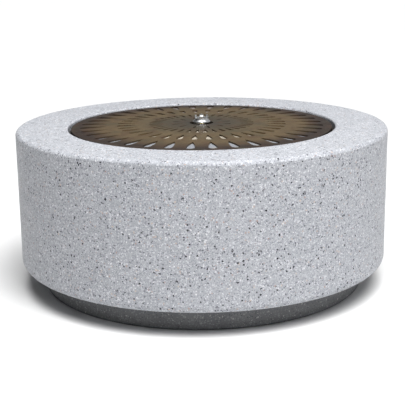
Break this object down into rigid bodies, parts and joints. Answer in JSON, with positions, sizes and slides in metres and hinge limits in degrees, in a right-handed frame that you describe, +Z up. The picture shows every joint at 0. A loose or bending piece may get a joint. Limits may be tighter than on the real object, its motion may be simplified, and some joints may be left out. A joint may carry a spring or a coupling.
{
  "type": "drinking fountain",
  "caption": "Low round drum of light terrazzo on a set-back dark plinth, with a recessed slotted grate over a catch bowl and a small bubbler head rising through its centre.",
  "frame": {"origin": "centre of the plinth's underside, on the floor", "axes": "+Z up along the drum's axis; the front faces -Y; supply pipework on -X, waste on +X"},
  "size_m": [1.22, 1.2196, 0.552],
  "materials": {
    "terrazzo": "ground and sealed light grey terrazzo with fine mixed chips",
    "dark_precast": "honed dark grey precast concrete",
    "bronze": "cast, brown patinated bronze, as cast between the slots",
    "mat": "pale coarse open filter mat",
    "bowl_white": "pale gel-coated moulded bowl",
    "stainless": "satin",
    "zinc_steel": "zinc-plated",
    "dark_frame": "dark bronze paint",
    "chrome": "polished",
    "brass": "machined",
    "copper": "drawn copper tube",
    "rubber": "matt",
    "white_plastic": "moulded",
    "grip_blue": "dipped vinyl sleeve",
    "grey_plastic": "extruded"
  },
  "bodies": {
    "drum": {"plinth": "dark_precast", "bearing_pads": "rubber", "locating_dowels": "stainless", "basin_shell": "terrazzo", "base_ring": "dark_precast", "lifting_sockets": "zinc_steel", "bowl_gasket": "rubber", "catch_bowl": "bowl_white", "grate_frame": "dark_frame", "frame_screws": "stainless", "grate_pads": "rubber", "shank": "brass", "shank_washers": "rubber", "shank_locknut": "brass", "shank_collar_nut": "brass", "bubbler_column": "chrome", "bubbler_skirt": "chrome", "guard_crown": "chrome", "jet_insert": "stainless", "drain_body": "stainless", "drain_gasket": "rubber", "drain_nut": "white_plastic", "slip_washer": "rubber", "trap_inlet_nut": "white_plastic", "trap_dip_tube": "white_plastic", "trap_body": "white_plastic", "trap_outlet_nut": "white_plastic", "waste_pipe": "grey_plastic", "supply_stub": "copper", "stop_valve_body": "brass", "nipples": "brass", "check_valve_body": "brass", "check_guide": "brass", "check_spring": "stainless", "regulator_body": "brass", "regulator_bonnet": "brass", "riser_pipe": "copper", "riser_union": "brass", "service_rail": "zinc_steel", "rail_bolts": "zinc_steel", "service_stands": "zinc_steel", "stand_bolts": "zinc_steel", "stand_nuts": "zinc_steel", "pipe_clamps": "zinc_steel", "clamp_screws": "zinc_steel"},
    "grate": {"grate": "bronze", "splash_mat": "mat", "grate_spider": "stainless", "stud_nuts": "stainless"},
    "strainer": {"drain_strainer": "stainless"},
    "trap_cup": {"trap_cup": "white_plastic"},
    "stop_valve": {"valve_ball": "chrome", "valve_handle": "zinc_steel", "handle_grip": "grip_blue", "handle_nut": "zinc_steel"},
    "check_poppet": {"check_poppet": "brass"},
    "regulator_knob": {"regulator_knob": "brass"},
    "regulator_needle": {"regulator_needle": "stainless"}
  },
  "joints": [
    {"name": "grate_lift", "type": "slide", "parent": "drum", "child": "grate", "axis": [0, 0, 1], "range_m": [0, 0.3]},
    {"name": "strainer_lift", "type": "slide", "parent": "drum", "child": "strainer", "axis": [0, 0, 1], "range_m": [0, 0.04]},
    {"name": "trap_cup_turn", "type": "hinge", "parent": "drum", "child": "trap_cup", "pos_m": [0.095, 0, 0.24], "axis": [0, 0, 1], "range_deg": [0, 720]},
    {"name": "stop_valve_turn", "type": "hinge", "parent": "drum", "child": "stop_valve", "pos_m": [-0.15, -0.03, 0.155], "axis": [0, -1, 0], "range_deg": [0, 90]},
    {"name": "check_poppet_lift", "type": "slide", "parent": "drum", "child": "check_poppet", "axis": [0, 0, 1], "range_m": [0, 0.005], "stiffness_N_per_m": 80, "springref_m": -0.01, "deforming": ["check_spring"]},
    {"name": "regulator_turn", "type": "hinge", "parent": "drum", "child": "regulator_knob", "pos_m": [-0.15, -0.04, 0.28], "axis": [0, -1, 0], "range_deg": [-540, 1440]},
    {"name": "needle_travel", "type": "slide", "parent": "drum", "child": "regulator_needle", "axis": [0, 1, 0], "range_m": [-0.003, 0.008]}
  ],
  "couplings": [
    {"joint": "needle_travel", "follows": "regulator_turn", "m_per_rad": 0.00031831}
  ]
}
